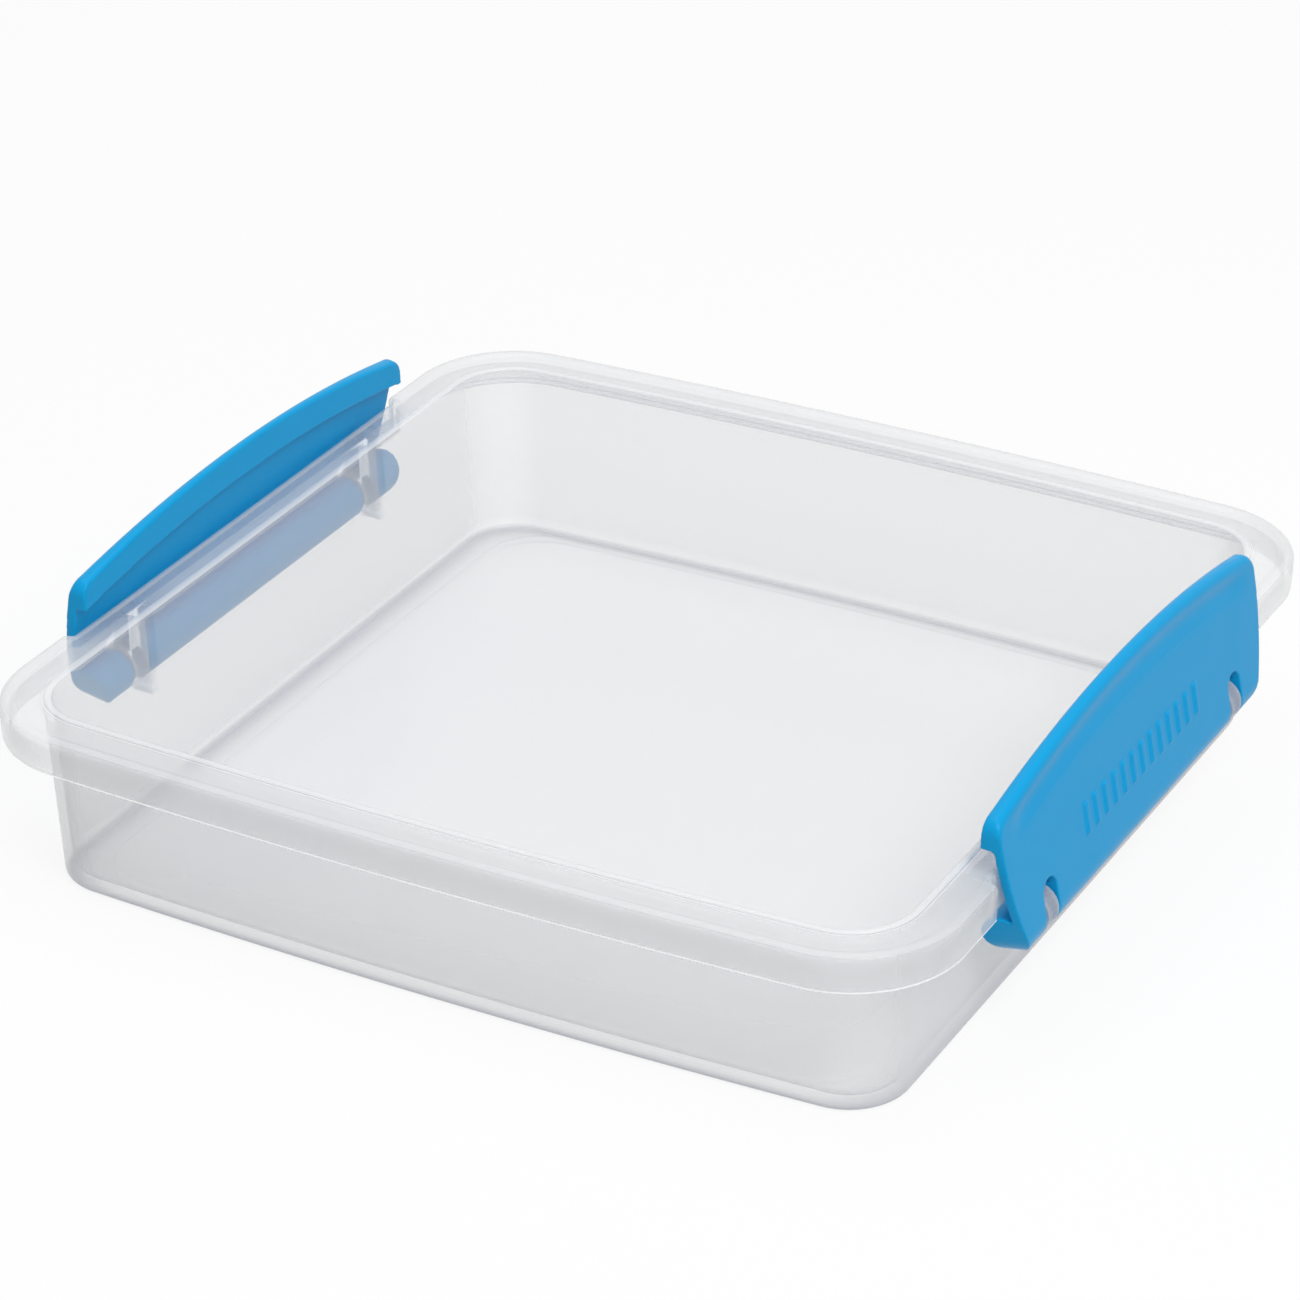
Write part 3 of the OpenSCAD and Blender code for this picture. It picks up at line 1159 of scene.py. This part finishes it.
@dataclass
class Studio:
    """The floor, the soft lamps and the camera. Angles are in degrees, and places in metres."""

    azimuth: float = 28.95
    elevation: float = 28.545
    roll: float = -0.612
    distance: float = 0.69857
    target: tuple[float, float, float] = (-0.005222, 0.005238, 0.020)
    lens_mm: float = 128.48
    sensor_mm: float = 36.0
    floor_half: float = 6.0
    floor_drop: float = 0.00005
    # Light bounces off the paper as off this grey. The eye sees it white, and mostly as an even glow of the
    # share below, so that only the rest of it takes shadows.
    paper: str = "#CCCCCC"
    paper_glow: float = 0.85
    # Strength with which the white surround lights matt surfaces, where the eye itself sees it at full white.
    surround_fill: float = 0.35
    softboxes: tuple[Softbox, ...] = (
        Softbox("overhead_softbox", (-0.15, 0.1, 1.1), 0.9, 3.8),
        Softbox("front_right_softbox", (0.7, -0.5, 1.0), 0.5, 7.7),
    )

    def camera(self) -> None:
        """Sets the camera at the viewing angle and distance."""
        a, e, r = (math.radians(v) for v in (self.azimuth, self.elevation, self.roll))
        back = Vector((math.sin(a) * math.cos(e), -math.cos(a) * math.cos(e), math.sin(e)))
        right = (-back).cross(Vector((0, 0, 1))).normalized()
        up = right.cross(-back)
        turned = right * math.cos(r) + up * math.sin(r)
        raised = up * math.cos(r) - right * math.sin(r)
        data = bpy.data.cameras.new("camera")
        data.lens = self.lens_mm
        data.sensor_width = self.sensor_mm
        data.clip_start = 0.01
        data.clip_end = 50.0
        camera = bpy.data.objects.new("camera", data)
        place = Vector(self.target) + back * self.distance
        axes = Matrix((turned, raised, back)).transposed().to_4x4()
        camera.matrix_world = Matrix.Translation(place) @ axes
        bpy.context.scene.collection.objects.link(camera)
        bpy.context.scene.camera = camera

    def floor(self) -> None:
        """Lays a plain white floor that shows only the object's soft shadow."""
        size = self.floor_half
        corners = [(-size, -size, 0), (size, -size, 0), (size, size, 0), (-size, size, 0)]
        mesh = bpy.data.meshes.new("floor")
        mesh.from_pydata([Vector(c) for c in corners], [], [(0, 1, 2, 3)])
        floor = bpy.data.objects.new("floor", mesh)
        floor.location.z = -self.floor_drop
        bpy.context.scene.collection.objects.link(floor)
        material = bpy.data.materials.new("white_sweep")
        material.use_nodes = True
        tree = material.node_tree
        tree.nodes.clear()
        tint = add_node(
            tree,
            "ShaderNodeMix",
            {"data_type": "RGBA"},
            {MIX_A: srgb(self.paper), MIX_B: WHITE},
            {0: self.seen_share(tree, 1.0)},
        )
        paper = add_node(tree, "ShaderNodeBsdfDiffuse", links={"Color": tint.outputs[MIX_OUT]})
        glow = add_node(tree, "ShaderNodeEmission", values={"Color": WHITE, "Strength": 1.0})
        seen = self.seen_share(tree, self.paper_glow)
        parts = {0: seen, 1: paper.outputs["BSDF"], 2: glow.outputs["Emission"]}
        mix = add_node(tree, "ShaderNodeMixShader", links=parts)
        add_node(tree, "ShaderNodeOutputMaterial", links={"Surface": mix.outputs["Shader"]})
        floor.data.materials.append(material)

    def seen_share(self, tree: bpy.types.NodeTree, share: float) -> bpy.types.NodeSocket:
        """Gives a share for rays that show the background directly, in gloss or through plastic, else 0.

        Args:
            tree: The node tree to add to.
            share: The value for such rays.

        Returns:
            The socket that carries it.
        """
        path = add_node(tree, "ShaderNodeLightPath")
        seen = path.outputs["Is Camera Ray"]
        for kind in ("Is Transmission Ray", "Is Glossy Ray"):
            either = {0: seen, 1: path.outputs[kind]}
            seen = add_node(tree, "ShaderNodeMath", {"operation": "MAXIMUM"}, links=either).outputs[0]
        scaled = add_node(tree, "ShaderNodeMath", {"operation": "MULTIPLY"}, {1: share}, {0: seen})
        return scaled.outputs[0]

    def world(self) -> None:
        """Sets a white surround that also fills the shadows."""
        world = bpy.data.worlds.new("surround")
        world.use_nodes = True
        tree = world.node_tree
        tree.nodes.clear()
        extra = self.seen_share(tree, 1.0 - self.surround_fill)
        plus = {"operation": "ADD"}
        strength = add_node(tree, "ShaderNodeMath", plus, {1: self.surround_fill}, {0: extra})
        back = add_node(tree, "ShaderNodeBackground", values={"Color": WHITE})
        tree.links.new(strength.outputs[0], back.inputs["Strength"])
        add_node(tree, "ShaderNodeOutputWorld", links={"Surface": back.outputs["Background"]})
        bpy.context.scene.world = world

    def build(self) -> None:
        """Sets up the camera, the floor, the lamps and the view."""
        self.camera()
        self.floor()
        self.world()
        for softbox in self.softboxes:
            softbox.hang()
        bpy.context.scene.view_settings.view_transform = "Standard"
        bpy.context.scene.cycles.transparent_max_bounces = 32


def main() -> None:
    """Builds the lunch box and its studio."""
    logging.basicConfig(level=logging.INFO)
    Studio().build()
    pieces = Tray().build()
    left = SnapClip(Side.LEFT)
    blue = left.finish.material()
    pieces += left.build(blue)
    pieces += SnapClip(Side.RIGHT).build(blue)
    for piece in pieces:
        LOG.info("%s: %d faces", piece.name, len(piece.data.polygons))


if __name__ == "__main__":
    main()
